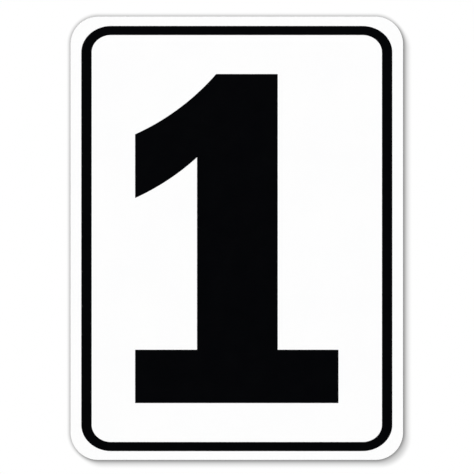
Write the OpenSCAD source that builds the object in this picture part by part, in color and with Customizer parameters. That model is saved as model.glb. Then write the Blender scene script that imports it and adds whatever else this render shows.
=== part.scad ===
// Parking space number sign: a portrait sheet-aluminium blank with rounded corners, a white
// film over its whole face, and a black border band and a black slab numeral laid on the film.
// The origin is the centre of the blank's back face. The sign stands upright with +Z up, its
// face looks along -Y, and +X is the reader's right.

/* [Blank] */
// Width of the sheet blank
blank_w = 457.2; // [400:0.1:760]
// Height of the sheet blank
blank_h = 609.6; // [540:0.1:1000]
// Thickness of the sheet
blank_t = 1.6; // [1:0.1:4]
// Radius of the blank's corners
blank_corner_r = 38.1; // [20:0.1:60]
// Width of the edge break that deburring leaves round the back
edge_break = 0.3; // [0.1:0.05:0.6]

/* [White face film] */
// Thickness of the white film with its adhesive
white_film_t = 0.2; // [0.1:0.01:0.5]

/* [Black film] */
// Thickness of the black film with its adhesive
black_film_t = 0.1; // [0.05:0.01:0.3]
// How far the border and the numeral sit below the blank's middle
print_drop = 0.4; // [0:0.1:6]

/* [Border] */
// White margin between the blank's side edges and the border
border_side_inset = 14.8; // [8:0.1:25]
// White margin between the blank's top and bottom edges and the border
border_end_inset = 12.5; // [8:0.1:20]
// Stroke of the border's upright sides
border_side_stroke = 14.2; // [8:0.1:20]
// Stroke of the border's top and bottom
border_end_stroke = 12.5; // [8:0.1:20]
// Sideways radius of the border's outer corners, longer than their upward radius
border_corner_rx = 41.0; // [30:0.1:60]
// Upward radius of the border's outer corners
border_corner_rz = 36.2; // [26:0.1:60]

/* [Numeral] */
// Height of the numeral
numeral_h = 452.4; // [380:0.1:480]
// Width of the slab that the numeral stands on
slab_w = 279.6; // [200:0.1:330]
// Height of that slab
slab_h = 73.3; // [50:0.1:110]
// Width of the stem
stem_w = 110.9; // [90:0.1:150]
// How far the stem's middle sits to the right of the slab's middle
stem_shift = 0.8; // [0:0.1:10]
// Width of the flat top that is left between the flag's curve and the stem's right side
top_w = 84.7; // [40:0.1:88]
// Drop from the numeral's top to the upper corner of the flag's tip
flag_drop = 82.8; // [60:0.1:120]
// Upright depth of the flag's tip
flag_depth = 87.7; // [60:0.1:110]
// Radius of the hollow curves over and under the flag
flag_r = 326; // [200:1:600]

/* [Hidden] */

// Steps round a full circle, and along each corner of the border
arc_steps = 180;
corner_steps = 20;

// Where each layer starts, measured from the back face towards the reader
white_from = blank_t;
black_from = white_from + white_film_t;

// The border's outline on its outer side
border_w = blank_w - 2 * border_side_inset;
border_h = blank_h - 2 * border_end_inset;

// The numeral's outline on the film: x to the reader's right and y up, from its own middle
numeral_top = numeral_h / 2;
numeral_bottom = -numeral_h / 2;
stem_left = stem_shift - stem_w / 2;
stem_right = stem_shift + stem_w / 2;
flag_left = -slab_w / 2;
flag_tip = [flag_left, numeral_top - flag_drop];
top_corner = [stem_right - top_w, numeral_top];
flag_arc_centre = arc_centre(flag_tip, top_corner, flag_r);

// The centre of the circle of radius r through p and q that lies to the left going from p to q
function arc_centre(p, q, r) =
    let (
        chord = q - p,
        half = norm(chord) / 2,
        left = [-chord[1], chord[0]] / norm(chord)
    )
    (p + q) / 2 + left * sqrt(r * r - half * half);

// Stands a flat outline up, with its back at a distance from the blank's back face
module upright(from, thickness) {
    rotate([90, 0, 0])
        translate([0, 0, from])
            linear_extrude(thickness)
                children();
}

// Lays a flat outline on the white film as black film, at the height of the whole print
module black_film() {
    upright(black_from, black_film_t)
        translate([0, -print_drop])
            children();
}

// The blank's outline: a rectangle whose corners are quarter circles
module blank_outline() {
    square([blank_w - 2 * blank_corner_r, blank_h], center = true);
    square([blank_w, blank_h - 2 * blank_corner_r], center = true);
    for (side = [-1, 1], end = [-1, 1])
        translate([side * (blank_w / 2 - blank_corner_r), end * (blank_h / 2 - blank_corner_r)])
            circle(r = blank_corner_r, $fn = arc_steps);
}

// A rectangle whose corners are quarter ellipses, drawn anticlockwise from its right side
module border_outline(w, h, rx, rz) {
    polygon([
        for (quarter = [0:3], step = [0:corner_steps])
            let (
                angle = 90 * (quarter + step / corner_steps),
                side = quarter == 0 || quarter == 3 ? 1 : -1,
                end = quarter < 2 ? 1 : -1
            )
            [side * (w / 2 - rx) + rx * cos(angle), end * (h / 2 - rz) + rz * sin(angle)]
    ]);
}

// Half of the sheet's section, from its middle out to an edge that is broken at the back
module edge_section(reach) {
    polygon([
        [0, 0],
        [reach - edge_break, 0],
        [reach, edge_break],
        [reach, blank_t],
        [0, blank_t]
    ]);
}

// A straight run of the sheet with both of its long edges broken at the back
module broken_strip(w, run) {
    rotate([90, 0, 0])
        linear_extrude(run, center = true) {
            edge_section(w / 2);
            mirror([1, 0]) edge_section(w / 2);
        }
}

// The plate: two crossed strips and a turned disc at each corner share one section
module sign_blank() {
    corner_x = blank_w / 2 - blank_corner_r;
    corner_z = blank_h / 2 - blank_corner_r;
    color("silver")
        rotate([90, 0, 0])
            union() {
                broken_strip(blank_w, 2 * corner_z);
                rotate([0, 0, 90]) broken_strip(blank_h, 2 * corner_x);
                for (side = [-1, 1], end = [-1, 1])
                    translate([side * corner_x, end * corner_z, 0])
                        rotate_extrude($fn = arc_steps) edge_section(blank_corner_r);
            }
}

// The white film covers the whole face and is trimmed flush with the blank
module white_sheeting() {
    color("white")
        upright(white_from, white_film_t)
            blank_outline();
}

// The border band keeps its strokes round the corners, so the inner corners are tighter
module black_border() {
    color("black")
        black_film()
            difference() {
                border_outline(border_w, border_h, border_corner_rx, border_corner_rz);
                border_outline(
                    border_w - 2 * border_side_stroke,
                    border_h - 2 * border_end_stroke,
                    border_corner_rx - border_side_stroke,
                    border_corner_rz - border_end_stroke
                );
            }
}

// The circle whose lower part is the flag's upper curve, lowered by flag_depth for the lower one
module flag_circle(lowered) {
    translate(flag_arc_centre - [0, lowered])
        circle(r = flag_r, $fn = arc_steps);
}

// The numeral's outline: a stem on a slab, with a flag between two like hollow curves
module numeral_outline() {
    difference() {
        union() {
            translate([stem_left, numeral_bottom])
                square([stem_w, numeral_h]);
            intersection() {
                flag_circle(flag_depth);
                translate([flag_left, numeral_bottom])
                    square([stem_right - flag_left, numeral_h]);
            }
        }
        flag_circle(0);
    }
    translate([-slab_w / 2, numeral_bottom])
        square([slab_w, slab_h]);
}

// The numeral is cut from the same film as the border
module black_numeral() {
    color("black")
        black_film()
            numeral_outline();
}

sign_blank();
white_sheeting();
black_border();
black_numeral();
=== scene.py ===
"""The finished pieces and the studio of an upright parking space number sign, seen head-on."""

import math

import bmesh
import bpy
from mathutils import Matrix, Vector


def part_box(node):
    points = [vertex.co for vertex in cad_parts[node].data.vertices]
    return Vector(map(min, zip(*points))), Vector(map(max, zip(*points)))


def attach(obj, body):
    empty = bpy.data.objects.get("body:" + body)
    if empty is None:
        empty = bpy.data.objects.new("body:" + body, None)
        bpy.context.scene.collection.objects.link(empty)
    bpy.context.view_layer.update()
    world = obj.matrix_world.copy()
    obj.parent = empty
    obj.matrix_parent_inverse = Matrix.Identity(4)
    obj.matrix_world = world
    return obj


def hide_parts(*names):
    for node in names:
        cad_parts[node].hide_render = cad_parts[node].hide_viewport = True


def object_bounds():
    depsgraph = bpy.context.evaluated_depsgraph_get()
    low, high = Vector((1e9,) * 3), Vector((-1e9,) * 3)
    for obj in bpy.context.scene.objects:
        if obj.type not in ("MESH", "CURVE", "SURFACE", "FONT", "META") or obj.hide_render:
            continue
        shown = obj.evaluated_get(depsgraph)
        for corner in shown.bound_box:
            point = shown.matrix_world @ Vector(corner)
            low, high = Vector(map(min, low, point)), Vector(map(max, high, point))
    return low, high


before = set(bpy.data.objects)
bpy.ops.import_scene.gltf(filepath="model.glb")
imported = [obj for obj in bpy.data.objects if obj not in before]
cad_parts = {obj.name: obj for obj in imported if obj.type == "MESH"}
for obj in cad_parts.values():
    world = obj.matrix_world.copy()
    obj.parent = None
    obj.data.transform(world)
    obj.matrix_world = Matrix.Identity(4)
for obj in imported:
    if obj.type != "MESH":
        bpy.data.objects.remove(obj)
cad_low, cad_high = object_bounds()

MM = 0.001
BODY = "root"

# Outlines on the sign's face
BLANK_CORNER_R = 38.1 * MM
BORDER_SIDE_STROKE = 14.2 * MM
BORDER_END_STROKE = 12.5 * MM
BORDER_CORNER_RX = 41.0 * MM
BORDER_CORNER_RZ = 36.2 * MM
SLAB_H = 73.3 * MM
STEM_W = 110.9 * MM
STEM_SHIFT = 0.8 * MM
TOP_W = 84.7 * MM
FLAG_DROP = 82.8 * MM
FLAG_DEPTH = 87.7 * MM
FLAG_R = 326 * MM

# Small roundings along the edges
BACK_EDGE_BREAK = 0.3 * MM
FRONT_EDGE_BREAK = 0.08 * MM
WHITE_FILM_EDGE_R = 0.07 * MM
BLACK_FILM_EDGE_R = 0.03 * MM
EDGE_STEPS = 3

# Steps along a rounded corner and along one curve of the numeral's flag
CORNER_STEPS = 32
FLAG_STEPS = 48
# An edge is part of a rim where its faces meet at more than this angle
RIM_ANGLE = math.radians(45)
# Faces that meet at less than this angle are shaded as one curve
SMOOTH_ANGLE = math.radians(35)
# A face is on a flat side where its normal reaches further than this along Y
FLAT_FACING = 0.999
# How far the points of a rim may lie from its height
FLAT_TOLERANCE = 0.001 * MM
# Stands up what lies flat, so that its upper side looks along -Y
UPRIGHT = Matrix.Rotation(math.radians(90), 3, "X")

# Colours of the finishes in linear light: a middle one, and the two that its shades lie between
WHITE_FILM = (0.965, 0.965, 0.965)
WHITE_FILM_SHADES = ((0.957, 0.958, 0.96), (0.969, 0.969, 0.968))
BLACK_FILM = (0.001, 0.0012, 0.0018)
BLACK_FILM_SHADES = ((0.0008, 0.001, 0.0016), (0.0012, 0.0014, 0.002))
MILL_ALUMINIUM = (0.72, 0.73, 0.74)
MILL_ALUMINIUM_SHADES = ((0.65, 0.66, 0.67), (0.79, 0.80, 0.81))
CUT_ALUMINIUM = (0.58, 0.585, 0.59)
CUT_ALUMINIUM_SHADES = ((0.62, 0.625, 0.63), (0.50, 0.505, 0.51))

# Depths of the relief on the films and on the rolled sheet
PEEL_DEPTH = 0.025 * MM
BEAD_DEPTH = 0.002 * MM
BLACK_GRAIN_DEPTH = 0.001 * MM
ROLLING_DEPTH = 0.003 * MM
WAVE_DEPTH = 0.3 * MM

# The cut edge: the share of its width that is burnished, how far the line where the tear starts
# wanders to each side and how soft it is, and the depths of the streaks and of the torn grain.
BURNISHED_SHARE = 0.45
TEAR_WANDER = 0.12 * MM
TEAR_SOFTNESS = 0.05 * MM
STREAK_DEPTH = 0.01 * MM
TORN_DEPTH = 0.03 * MM

# Most of a noise lies between these two values, which are spread over the range of a finish
NOISE_LOW = 0.3
NOISE_HIGH = 0.7

# How the photograph frames the sign
FRAME_PX = 474
MM_PER_PX = 1.37505
SIGN_MIDDLE_PX = (236.80, 238.24)
LENS_MM = 150
SENSOR_MM = 36

# Stage, in metres: a wall just behind the sign, and a floor below the camera's view. Each is a
# square, and HALF is half of its side. Between the two distances of its fade, from its middle
# outwards, the wall turns clear and the floor turns glowing white, so that neither shows an edge
# against the white world. Within COVE_REACH of the sign's plane the floor also turns white, like
# the bend of a paper backdrop. FLOOR_GLOW is the share of that glow elsewhere.
WALL_GAP = 1 * MM
WALL_HALF = 1.3
WALL_FADE = (0.48, 1.2)
FLOOR_GAP = 45 * MM
FLOOR_HALF = 6.0
FLOOR_FADE = (0.8, 2.8)
FLOOR_TONE = 0.8
FLOOR_GLOW = 0.3
COVE_REACH = 0.16

# The soft shadow drawn on the wall, in two parts whose shades add up: a close one that is the
# same on every side and falls off by the power CLOSE_FALL, and one cast to the lower right.
CLOSE_SHADE = 0.30
CLOSE_REACH = 6.7 * MM
CLOSE_FALL = 2
CAST_SHADE = 0.205
CAST_SOFTNESS = 6 * MM
CAST_SHIFT = 7 * MM
# Turns a given shade, as it looks, into light
DISPLAY_GAMMA = 2.2

# Reflections show the white room but for a dark screen round the camera's first place. The
# screen ends between two directions, from -1, straight behind that place, to 1, ahead of it.
SCREEN_TONE = 0.01
SCREEN_FADE = (-0.5, 0.15)

# Light on the sign: an even sky, two broad suns on the face and two softboxes on the bare back
SKY_LEVEL = 0.62
KEY_LEVEL = 1.30
KEY_FROM = (-1, -1.15, 0.95)
KEY_SPREAD = math.radians(35)
FILL_LEVEL = 0.93
FILL_FROM = (1.2, -1, 0.75)
FILL_SPREAD = math.radians(50)
SOFTBOX_SIZE = 2.6
BACK_LEFT_WATTS = 80
BACK_LEFT_FROM = (-3.2, 4.4, 2.8)
BACK_RIGHT_WATTS = 46
BACK_RIGHT_FROM = (4.4, 3.6, 1.8)


def size_of(node):
    """Width, thickness and height of a node."""
    low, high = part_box(node)
    return high - low


def rounded_panel(bm, width, height, corner_rx, corner_rz):
    """A flat panel whose corners are quarter ellipses."""
    # The corners are rounded as circles on a panel squeezed sideways, which then gets its width
    squeeze = corner_rz / corner_rx
    corners = bmesh.ops.create_grid(bm, x_segments=1, y_segments=1, size=0.5)["verts"]
    bmesh.ops.scale(bm, vec=(width * squeeze, height, 1), verts=corners)
    rounded = bmesh.ops.bevel(
        bm,
        geom=corners,
        offset=corner_rz,
        segments=CORNER_STEPS,
        profile=0.5,
        affect="VERTICES",
        material=-1,
    )["verts"]
    bmesh.ops.scale(bm, vec=(1 / squeeze, 1, 1), verts=rounded)
    return rounded[0].link_faces[0]


def thicken(bm, thickness):
    """Gives the flat faces in bm a thickness along +Z."""
    raised = bmesh.ops.extrude_face_region(bm, geom=bm.faces[:])["geom"]
    verts = [part for part in raised if isinstance(part, bmesh.types.BMVert)]
    bmesh.ops.translate(bm, verts=verts, vec=(0, 0, thickness))
    bmesh.ops.recalc_face_normals(bm, faces=bm.faces[:])


def round_rim(bm, z, radius):
    """Rounds the edges at height z where a flat side meets the wall round it."""
    rim = [
        edge
        for edge in bm.edges
        if all(abs(vert.co.z - z) < FLAT_TOLERANCE for vert in edge.verts)
        and edge.calc_face_angle(0) > RIM_ANGLE
    ]
    bmesh.ops.bevel(
        bm, geom=rim, offset=radius, segments=EDGE_STEPS, profile=0.5, affect="EDGES", material=-1
    )


def is_flat_side(face):
    """Whether a face belongs to the sign's flat front or back."""
    return abs(face.normal.y) > FLAT_FACING


def shade_curves(bm):
    """Shades rims and corners as curves, and keeps them apart from the flat front and back."""
    for face in bm.faces:
        face.smooth = True
    for edge in bm.edges:
        flat_sides = [is_flat_side(face) for face in edge.link_faces]
        alike = all(flat_sides) or not any(flat_sides)
        edge.smooth = alike and edge.calc_face_angle(0) < SMOOTH_ANGLE


def object_of(bm, name, *finishes):
    """An object at the origin that takes over a build, with its finishes."""
    mesh = bpy.data.meshes.new(name)
    bm.to_mesh(mesh)
    bm.free()
    for finish in finishes:
        mesh.materials.append(finish)
    made = bpy.data.objects.new(name, mesh)
    bpy.context.scene.collection.objects.link(made)
    return made


def stood_up(bm, name, node, slot, *finishes):
    """Stands a flat build up in its node's place, facing -Y, as the piece that stands for it."""
    low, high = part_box(node)
    middle = (low + high) / 2
    bmesh.ops.rotate(bm, verts=bm.verts[:], cent=(0, 0, 0), matrix=UPRIGHT)
    bmesh.ops.translate(bm, verts=bm.verts[:], vec=(middle.x, high.y, middle.z))
    bmesh.ops.recalc_face_normals(bm, faces=bm.faces[:])
    shade_curves(bm)
    piece = object_of(bm, name, *finishes)
    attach(piece, BODY)
    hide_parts(node)
    return piece


def aluminium_plate():
    """The blank: mill finish on both sides, and a sheared edge that is broken at the back."""
    width, thickness, height = size_of("sign_blank")
    bm = bmesh.new()
    rounded_panel(bm, width, height, BLANK_CORNER_R, BLANK_CORNER_R)
    thicken(bm, thickness)
    round_rim(bm, 0, BACK_EDGE_BREAK)
    round_rim(bm, thickness, FRONT_EDGE_BREAK)
    mill = mill_finish()
    sheared = sheared_finish()
    plate = stood_up(bm, "aluminium_plate", "sign_blank", "bare_aluminium", mill, sheared)
    # The first finish goes on the flat sides, and the second round the edge
    for face in plate.data.polygons:
        face.material_index = 0 if is_flat_side(face) else 1


def white_face_film():
    """The white film, trimmed flush with the plate."""
    width, thickness, height = size_of("white_sheeting")
    bm = bmesh.new()
    rounded_panel(bm, width, height, BLANK_CORNER_R, BLANK_CORNER_R)
    thicken(bm, thickness)
    round_rim(bm, thickness, WHITE_FILM_EDGE_R)
    stood_up(bm, "white_face_film", "white_sheeting", "white_film", white_film_finish())


def black_border_film(black):
    """The black band, bridged between two rounded panels."""
    width, thickness, height = size_of("black_border")
    bm = bmesh.new()
    outer = rounded_panel(bm, width, height, BORDER_CORNER_RX, BORDER_CORNER_RZ)
    inner = rounded_panel(
        bm,
        width - 2 * BORDER_SIDE_STROKE,
        height - 2 * BORDER_END_STROKE,
        BORDER_CORNER_RX - BORDER_SIDE_STROKE,
        BORDER_CORNER_RZ - BORDER_END_STROKE,
    )
    loops = outer.edges[:] + inner.edges[:]
    bmesh.ops.delete(bm, geom=[outer, inner], context="FACES_ONLY")
    bmesh.ops.bridge_loops(bm, edges=loops)
    thicken(bm, thickness)
    round_rim(bm, thickness, BLACK_FILM_EDGE_R)
    stood_up(bm, "black_border_film", "black_border", "black_film", black)


def arc_centre(start, end, radius):
    """The centre of the circle through two points, on the left of the way from start to end."""
    chord = end - start
    left = Matrix.Rotation(math.radians(90), 3, "Z") @ chord.normalized()
    return (start + end) / 2 + left * math.sqrt(radius**2 - (chord.length / 2) ** 2)


def flag_curve(bm, start, centre, end_x):
    """Spins a point round the centre until its x is end_x, and returns the curve's two ends."""
    first = bm.verts.new(start)
    turn = math.acos((start.x - centre.x) / FLAG_R) - math.acos((end_x - centre.x) / FLAG_R)
    spun = bmesh.ops.spin(
        bm, geom=[first], cent=centre, axis=(0, 0, 1), angle=turn, steps=FLAG_STEPS
    )
    return first, spun["geom_last"][0]


def black_numeral_film(black):
    """The slab numeral: straight sides between the two spun curves of its flag."""
    width, thickness, height = size_of("black_numeral")
    top, bottom = height / 2, -height / 2
    left, right = -width / 2, width / 2
    slab_top = bottom + SLAB_H
    stem_left, stem_right = STEM_SHIFT - STEM_W / 2, STEM_SHIFT + STEM_W / 2
    tip = Vector((left, top - FLAG_DROP, 0))
    top_corner = Vector((stem_right - TOP_W, top, 0))
    centre = arc_centre(tip, top_corner, FLAG_R)
    lowering = Vector((0, -FLAG_DEPTH, 0))

    bm = bmesh.new()
    tip_top, upper_end = flag_curve(bm, tip, centre, top_corner.x)
    tip_bottom, crotch = flag_curve(bm, tip + lowering, centre + lowering, stem_left)
    corners = (
        (stem_right, top, 0),
        (stem_right, slab_top, 0),
        (right, slab_top, 0),
        (right, bottom, 0),
        (left, bottom, 0),
        (left, slab_top, 0),
        (stem_left, slab_top, 0),
    )
    straight = [upper_end, *(bm.verts.new(corner) for corner in corners), crotch]
    for one, other in zip(straight, straight[1:]):
        bm.edges.new((one, other))
    bm.edges.new((tip_bottom, tip_top))
    bmesh.ops.contextual_create(bm, geom=bm.edges[:])
    thicken(bm, thickness)
    round_rim(bm, thickness, BLACK_FILM_EDGE_R)
    stood_up(bm, "black_numeral_film", "black_numeral", "black_film", black)


def feed(tree, value, socket):
    """Feeds a socket from another node's socket, or with a plain value."""
    if isinstance(value, bpy.types.NodeSocket):
        tree.links.new(value, socket)
    else:
        socket.default_value = value


def placed(tree, stretch=(1, 1, 1), shift=(0, 0, 0)):
    """Object coordinates, stretched and shifted along each axis."""
    source = tree.nodes.new("ShaderNodeTexCoord")
    mapping = tree.nodes.new("ShaderNodeMapping")
    mapping.inputs["Scale"].default_value = stretch
    mapping.inputs["Location"].default_value = shift
    tree.links.new(source.outputs["Object"], mapping.inputs["Vector"])
    return mapping.outputs["Vector"]


def axis_value(tree, axis):
    """A spot's place along one axis."""
    split = tree.nodes.new("ShaderNodeSeparateXYZ")
    tree.links.new(placed(tree), split.inputs["Vector"])
    return split.outputs[axis]


def noise(tree, vector, per_metre, detail=2.0, roughness=0.5):
    """Soft noise with about this many humps in a metre."""
    node = tree.nodes.new("ShaderNodeTexNoise")
    node.inputs["Scale"].default_value = per_metre
    node.inputs["Detail"].default_value = detail
    node.inputs["Roughness"].default_value = roughness
    tree.links.new(vector, node.inputs["Vector"])
    return node.outputs["Fac"]


def ranged(tree, value, low, high, from_low=NOISE_LOW, from_high=NOISE_HIGH, ease="LINEAR"):
    """Spreads a value over the range from low to high."""
    node = tree.nodes.new("ShaderNodeMapRange")
    node.interpolation_type = ease
    node.inputs["From Min"].default_value = from_low
    node.inputs["From Max"].default_value = from_high
    node.inputs["To Min"].default_value = low
    node.inputs["To Max"].default_value = high
    tree.links.new(value, node.inputs["Value"])
    return node.outputs["Result"]


def combined(tree, operation, one, other):
    """One number worked out from two, each a socket or a plain number."""
    node = tree.nodes.new("ShaderNodeMath")
    node.operation = operation
    feed(tree, one, node.inputs[0])
    feed(tree, other, node.inputs[1])
    return node.outputs["Value"]


def tinted(tree, value, low_colour, high_colour):
    """A colour between two, by a value from 0 to 1."""
    node = tree.nodes.new("ShaderNodeMix")
    node.data_type = "RGBA"
    node.inputs["A"].default_value = (*low_colour, 1)
    node.inputs["B"].default_value = (*high_colour, 1)
    tree.links.new(value, node.inputs["Factor"])
    return node.outputs["Result"]


def bumped(tree, height, distance, under=None):
    """A normal raised by height times distance, on top of another bump if one is given."""
    node = tree.nodes.new("ShaderNodeBump")
    node.inputs["Strength"].default_value = 1.0
    node.inputs["Distance"].default_value = distance
    tree.links.new(height, node.inputs["Height"])
    if under is not None:
        tree.links.new(under, node.inputs["Normal"])
    return node.outputs["Normal"]


def plain_finish(name, colour, metallic, roughness, specular=0.5):
    """A material with one Principled shader whose plain settings are given."""
    material = bpy.data.materials.new(name)
    material.use_nodes = True
    material.diffuse_color = (*colour, 1)
    tree = material.node_tree
    shader = tree.nodes["Principled BSDF"]
    shader.inputs["Base Color"].default_value = (*colour, 1)
    shader.inputs["Metallic"].default_value = metallic
    shader.inputs["Roughness"].default_value = roughness
    shader.inputs["Specular IOR Level"].default_value = specular
    return material, tree, shader


def surfaced(tree, shader, colour, roughness, relief):
    """Gives a shader the colour, roughness and relief that were worked out for it."""
    tree.links.new(colour, shader.inputs["Base Color"])
    tree.links.new(roughness, shader.inputs["Roughness"])
    tree.links.new(relief, shader.inputs["Normal"])


def orange_peel(tree, where):
    """The shallow waves of the white film, which the black film on it follows."""
    return bumped(tree, noise(tree, where, per_metre=220), PEEL_DEPTH)


def white_film_finish():
    """White sign film: a faint orange peel and the fine grain of the beads under its clear top."""
    material, tree, shader = plain_finish(
        "white_sign_film", WHITE_FILM, metallic=0, roughness=0.32, specular=0.4
    )
    where = placed(tree)
    shade = ranged(tree, noise(tree, where, per_metre=14, detail=3), low=0, high=1)
    colour = tinted(tree, shade, *WHITE_FILM_SHADES)
    roughness = ranged(tree, noise(tree, where, per_metre=40, detail=4), low=0.28, high=0.36)
    beads = noise(tree, where, per_metre=4200, detail=1)
    relief = bumped(tree, beads, BEAD_DEPTH, under=orange_peel(tree, where))
    surfaced(tree, shader, colour, roughness, relief)
    return material


def black_film_finish():
    """Satin black film with a fine grain, on the white film's orange peel."""
    material, tree, shader = plain_finish(
        "black_sign_film", BLACK_FILM, metallic=0, roughness=0.2, specular=0.25
    )
    where = placed(tree)
    shade = ranged(tree, noise(tree, where, per_metre=25, detail=3), low=0, high=1)
    colour = tinted(tree, shade, *BLACK_FILM_SHADES)
    roughness = ranged(tree, noise(tree, where, per_metre=60, detail=4), low=0.18, high=0.22)
    grain = noise(tree, where, per_metre=2600)
    relief = bumped(tree, grain, BLACK_GRAIN_DEPTH, under=orange_peel(tree, where))
    surfaced(tree, shader, colour, roughness, relief)
    return material


def rolling_lines(tree, per_metre, upright, detail, roughness, share):
    """Rolling lines of one width, times their share: noise drawn out by a low upright scale."""
    lines = noise(tree, placed(tree, stretch=(1, 1, upright)), per_metre, detail, roughness)
    return combined(tree, "MULTIPLY", lines, share)


def mill_finish():
    """Bare rolled sheet: upright rolling lines of three widths, on a slightly cloudy gloss."""
    material, tree, shader = plain_finish(
        "mill_aluminium", MILL_ALUMINIUM, metallic=1, roughness=0.38
    )
    fine = rolling_lines(tree, 2400, upright=0.004, detail=2, roughness=0.6, share=0.5)
    middling = rolling_lines(tree, 520, upright=0.012, detail=3, roughness=0.6, share=0.35)
    broad = rolling_lines(tree, 60, upright=0.05, detail=2, roughness=0.5, share=0.15)
    lines = combined(tree, "ADD", combined(tree, "ADD", fine, middling), broad)
    colour = tinted(tree, ranged(tree, lines, low=0, high=1), *MILL_ALUMINIUM_SHADES)
    clouds = noise(tree, placed(tree, stretch=(1, 1, 0.6)), per_metre=7, detail=4)
    cloudy = ranged(tree, clouds, low=0.28, high=0.35)
    roughness = combined(tree, "ADD", cloudy, ranged(tree, lines, low=0, high=0.08))
    waves = noise(tree, placed(tree, stretch=(1, 1, 0.5)), per_metre=6, detail=1)
    relief = bumped(tree, waves, WAVE_DEPTH, under=bumped(tree, lines, ROLLING_DEPTH))
    surfaced(tree, shader, colour, roughness, relief)
    return material


def sheared_finish():
    """The cut edge: burnished on the face side, where the blade entered, and torn matt behind."""
    material, tree, shader = plain_finish(
        "sheared_aluminium", CUT_ALUMINIUM, metallic=1, roughness=0.55
    )
    low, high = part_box("sign_blank")
    tear_start = low.y + BURNISHED_SHARE * (high.y - low.y)
    wander = noise(tree, placed(tree), per_metre=700, detail=3)
    ragged = ranged(tree, wander, -TEAR_WANDER, TEAR_WANDER)
    depth = combined(tree, "ADD", axis_value(tree, "Y"), ragged)
    torn = ranged(tree, depth, 0, 1, tear_start - TEAR_SOFTNESS, tear_start + TEAR_SOFTNESS)
    colour = tinted(tree, torn, *CUT_ALUMINIUM_SHADES)
    roughness = ranged(tree, torn, low=0.42, high=0.66, from_low=0, from_high=1)
    streaks = noise(tree, placed(tree, stretch=(1, 0.04, 1)), per_metre=3500)
    grain = noise(tree, placed(tree), per_metre=6000, detail=3)
    torn_grain = combined(tree, "MULTIPLY", grain, torn)
    relief = bumped(tree, torn_grain, TORN_DEPTH, under=bumped(tree, streaks, STREAK_DEPTH))
    surfaced(tree, shader, colour, roughness, relief)
    return material


def mixed(tree, share, one, other):
    """Two shaders mixed by a share from 0 to 1."""
    mix = tree.nodes.new("ShaderNodeMixShader")
    for place, socket in enumerate((share, one, other)):
        tree.links.new(socket, mix.inputs[place])
    return mix.outputs["Shader"]


def worked(tree, operation, one, other=None):
    """A vector worked out from one vector, and from a plain one where a second is given."""
    node = tree.nodes.new("ShaderNodeVectorMath")
    node.operation = operation
    tree.links.new(one, node.inputs[0])
    if other is not None:
        node.inputs[1].default_value = other
    return node.outputs["Vector"]


def length_of(tree, vector):
    """How long a vector is."""
    node = tree.nodes.new("ShaderNodeVectorMath")
    node.operation = "LENGTH"
    tree.links.new(vector, node.inputs[0])
    return node.outputs["Value"]


def distance_from(tree, middle):
    """How far a spot of a surface lies from a middle."""
    return length_of(tree, placed(tree, shift=-middle))


def outline_distance(tree, shift):
    """How far a spot of the wall lies outside the blank's outline, once that is shifted."""
    straight = size_of("sign_blank") / 2 - Vector((BLANK_CORNER_R, 0, BLANK_CORNER_R))
    straight.y = 0
    spot = worked(tree, "ABSOLUTE", placed(tree, shift=-shift))
    past = worked(tree, "MAXIMUM", worked(tree, "SUBTRACT", spot, straight), (0, 0, 0))
    return combined(tree, "SUBTRACT", length_of(tree, past), BLANK_CORNER_R)


def white_glow(tree, strength=1.0):
    """A shader that glows white, at full strength unless another is given."""
    glow = tree.nodes.new("ShaderNodeEmission")
    feed(tree, strength, glow.inputs["Strength"])
    return glow.outputs["Emission"]


def clear(tree):
    """A shader that lets the view through."""
    return tree.nodes.new("ShaderNodeBsdfTransparent").outputs["BSDF"]


def stage_material(name):
    """A material with no shader yet, and its nodes."""
    material = bpy.data.materials.new(name)
    material.use_nodes = True
    tree = material.node_tree
    tree.nodes.remove(tree.nodes["Principled BSDF"])
    return material, tree


def seen_from_front(tree, shader):
    """Makes a shader the surface, and leaves the surface clear from behind."""
    behind = tree.nodes.new("ShaderNodeNewGeometry").outputs["Backfacing"]
    surface = mixed(tree, behind, shader, clear(tree))
    tree.links.new(surface, tree.nodes["Material Output"].inputs["Surface"])


def stage_sheet(name, half, turn, place, material):
    """A square sheet of the stage: the camera sees it, the lamps light it, and nothing reflects it."""
    bm = bmesh.new()
    bmesh.ops.create_grid(bm, x_segments=1, y_segments=1, size=half)
    bmesh.ops.rotate(bm, verts=bm.verts[:], cent=(0, 0, 0), matrix=turn)
    bmesh.ops.translate(bm, verts=bm.verts[:], vec=place)
    sheet = object_of(bm, name, material)
    sheet.visible_diffuse = False
    sheet.visible_glossy = False
    sheet.visible_transmission = False
    sheet.visible_volume_scatter = False
    sheet.visible_shadow = False


def floor_sheet():
    """The pale matt floor, which keeps the sign's shadow, and turns white far off and at the wall."""
    place = Vector((0, 0, cad_low.z - FLOOR_GAP))
    material, tree = stage_material("pale_floor")
    matt = tree.nodes.new("ShaderNodeBsdfDiffuse")
    matt.inputs["Color"].default_value = (FLOOR_TONE, FLOOR_TONE, FLOOR_TONE, 1)
    far = ranged(tree, distance_from(tree, place), FLOOR_GLOW, 1, *FLOOR_FADE)
    from_sign = combined(tree, "ABSOLUTE", axis_value(tree, "Y"), 0)
    bend = ranged(tree, from_sign, 1, FLOOR_GLOW, 0, COVE_REACH, "SMOOTHSTEP")
    glow = combined(tree, "MAXIMUM", far, bend)
    seen_from_front(tree, mixed(tree, glow, matt.outputs["BSDF"], white_glow(tree)))
    stage_sheet("floor", FLOOR_HALF, Matrix.Identity(3), place, material)


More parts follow.
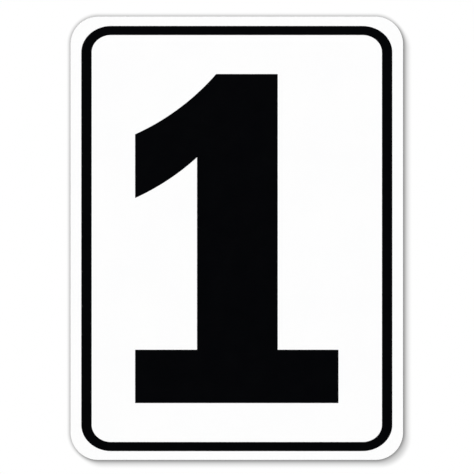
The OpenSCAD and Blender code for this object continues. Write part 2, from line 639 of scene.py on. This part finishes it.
def wall_sheet():
    """The white wall just behind the sign, with the photograph's soft shadow drawn on it."""
    place = Vector((0, cad_high.y + WALL_GAP, 0))
    material, tree = stage_material("white_wall")
    nearness = ranged(tree, outline_distance(tree, place), 1, 0, 0, CLOSE_REACH)
    close = combined(tree, "MULTIPLY", combined(tree, "POWER", nearness, CLOSE_FALL), CLOSE_SHADE)
    away = outline_distance(tree, place + Vector((CAST_SHIFT, 0, -CAST_SHIFT)))
    cast = ranged(tree, away, CAST_SHADE, 0, -CAST_SOFTNESS, CAST_SOFTNESS, "SMOOTHSTEP")
    shade = combined(tree, "SUBTRACT", 1, combined(tree, "ADD", close, cast))
    white = white_glow(tree, combined(tree, "POWER", shade, DISPLAY_GAMMA))
    gone = ranged(tree, distance_from(tree, place), 0, 1, *WALL_FADE)
    seen_from_front(tree, mixed(tree, gone, white, clear(tree)))
    stage_sheet("backdrop_wall", WALL_HALF, UPRIGHT, place, material)


def lamp(name, kind, power, place):
    """Hangs a white lamp at a place, aimed at the origin and unseen, and returns its settings."""
    settings = bpy.data.lights.new(name, kind)
    settings.energy = power
    made = bpy.data.objects.new(name, settings)
    made.location = place
    made.rotation_euler = (-Vector(place)).to_track_quat("-Z", "Y").to_euler()
    made.visible_camera = False
    bpy.context.scene.collection.objects.link(made)
    return settings


def sun(name, level, place, spread):
    """A sun whose disc is spread wide, for even light with soft shadows."""
    lamp(name, "SUN", level, place).angle = spread


def softbox(name, watts, place):
    """A large square softbox."""
    settings = lamp(name, "AREA", watts, place)
    settings.shape = "SQUARE"
    settings.size = SOFTBOX_SIZE


def lamps():
    """Broad even light on the face and softboxes on the bare back."""
    sun("key_upper_left", KEY_LEVEL, KEY_FROM, KEY_SPREAD)
    sun("fill_upper_right", FILL_LEVEL, FILL_FROM, FILL_SPREAD)
    softbox("back_left", BACK_LEFT_WATTS, BACK_LEFT_FROM)
    softbox("back_right", BACK_RIGHT_WATTS, BACK_RIGHT_FROM)


def world_light(tree, strength):
    """White light from all round, at one strength or at one that changes with the direction."""
    light = tree.nodes.new("ShaderNodeBackground")
    light.inputs["Color"].default_value = (1, 1, 1, 1)
    feed(tree, strength, light.inputs["Strength"])
    return light.outputs["Background"]


def studio_world():
    """White to the camera, white with a dark screen in reflections, and an even sky as a light."""
    world = bpy.data.worlds.new("studio")
    bpy.context.scene.world = world
    world.use_nodes = True
    tree = world.node_tree
    tree.nodes.clear()
    coordinates = tree.nodes.new("ShaderNodeTexCoord")
    direction = tree.nodes.new("ShaderNodeSeparateXYZ")
    tree.links.new(coordinates.outputs["Generated"], direction.inputs["Vector"])
    room = ranged(tree, direction.outputs["Y"], SCREEN_TONE, 1, *SCREEN_FADE)
    sky = world_light(tree, SKY_LEVEL)
    path = tree.nodes.new("ShaderNodeLightPath").outputs
    indirect = mixed(tree, path["Is Glossy Ray"], sky, world_light(tree, room))
    straight = combined(tree, "MAXIMUM", path["Is Camera Ray"], path["Is Transmission Ray"])
    surface = mixed(tree, straight, indirect, world_light(tree, 1.0))
    output = tree.nodes.new("ShaderNodeOutputWorld")
    tree.links.new(surface, output.inputs["Surface"])


def photo_camera():
    """Looks straight at the face, framed as in the photograph."""
    data = bpy.data.cameras.new("photo_camera")
    data.lens = LENS_MM
    data.sensor_width = SENSOR_MM
    pixel = MM_PER_PX * MM
    distance = FRAME_PX * pixel * LENS_MM / SENSOR_MM
    face_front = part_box("white_sheeting")[0].y
    middle_px = FRAME_PX / 2
    camera = bpy.data.objects.new("photo_camera", data)
    camera.location = (
        (middle_px - SIGN_MIDDLE_PX[0]) * pixel,
        face_front - distance,
        (SIGN_MIDDLE_PX[1] - middle_px) * pixel,
    )
    camera.rotation_euler = (math.radians(90), 0, 0)
    bpy.context.scene.collection.objects.link(camera)
    bpy.context.scene.camera = camera


black = black_film_finish()
aluminium_plate()
white_face_film()
black_border_film(black)
black_numeral_film(black)

floor_sheet()
wall_sheet()
lamps()
studio_world()
photo_camera()
bpy.context.scene.view_settings.view_transform = "Standard"
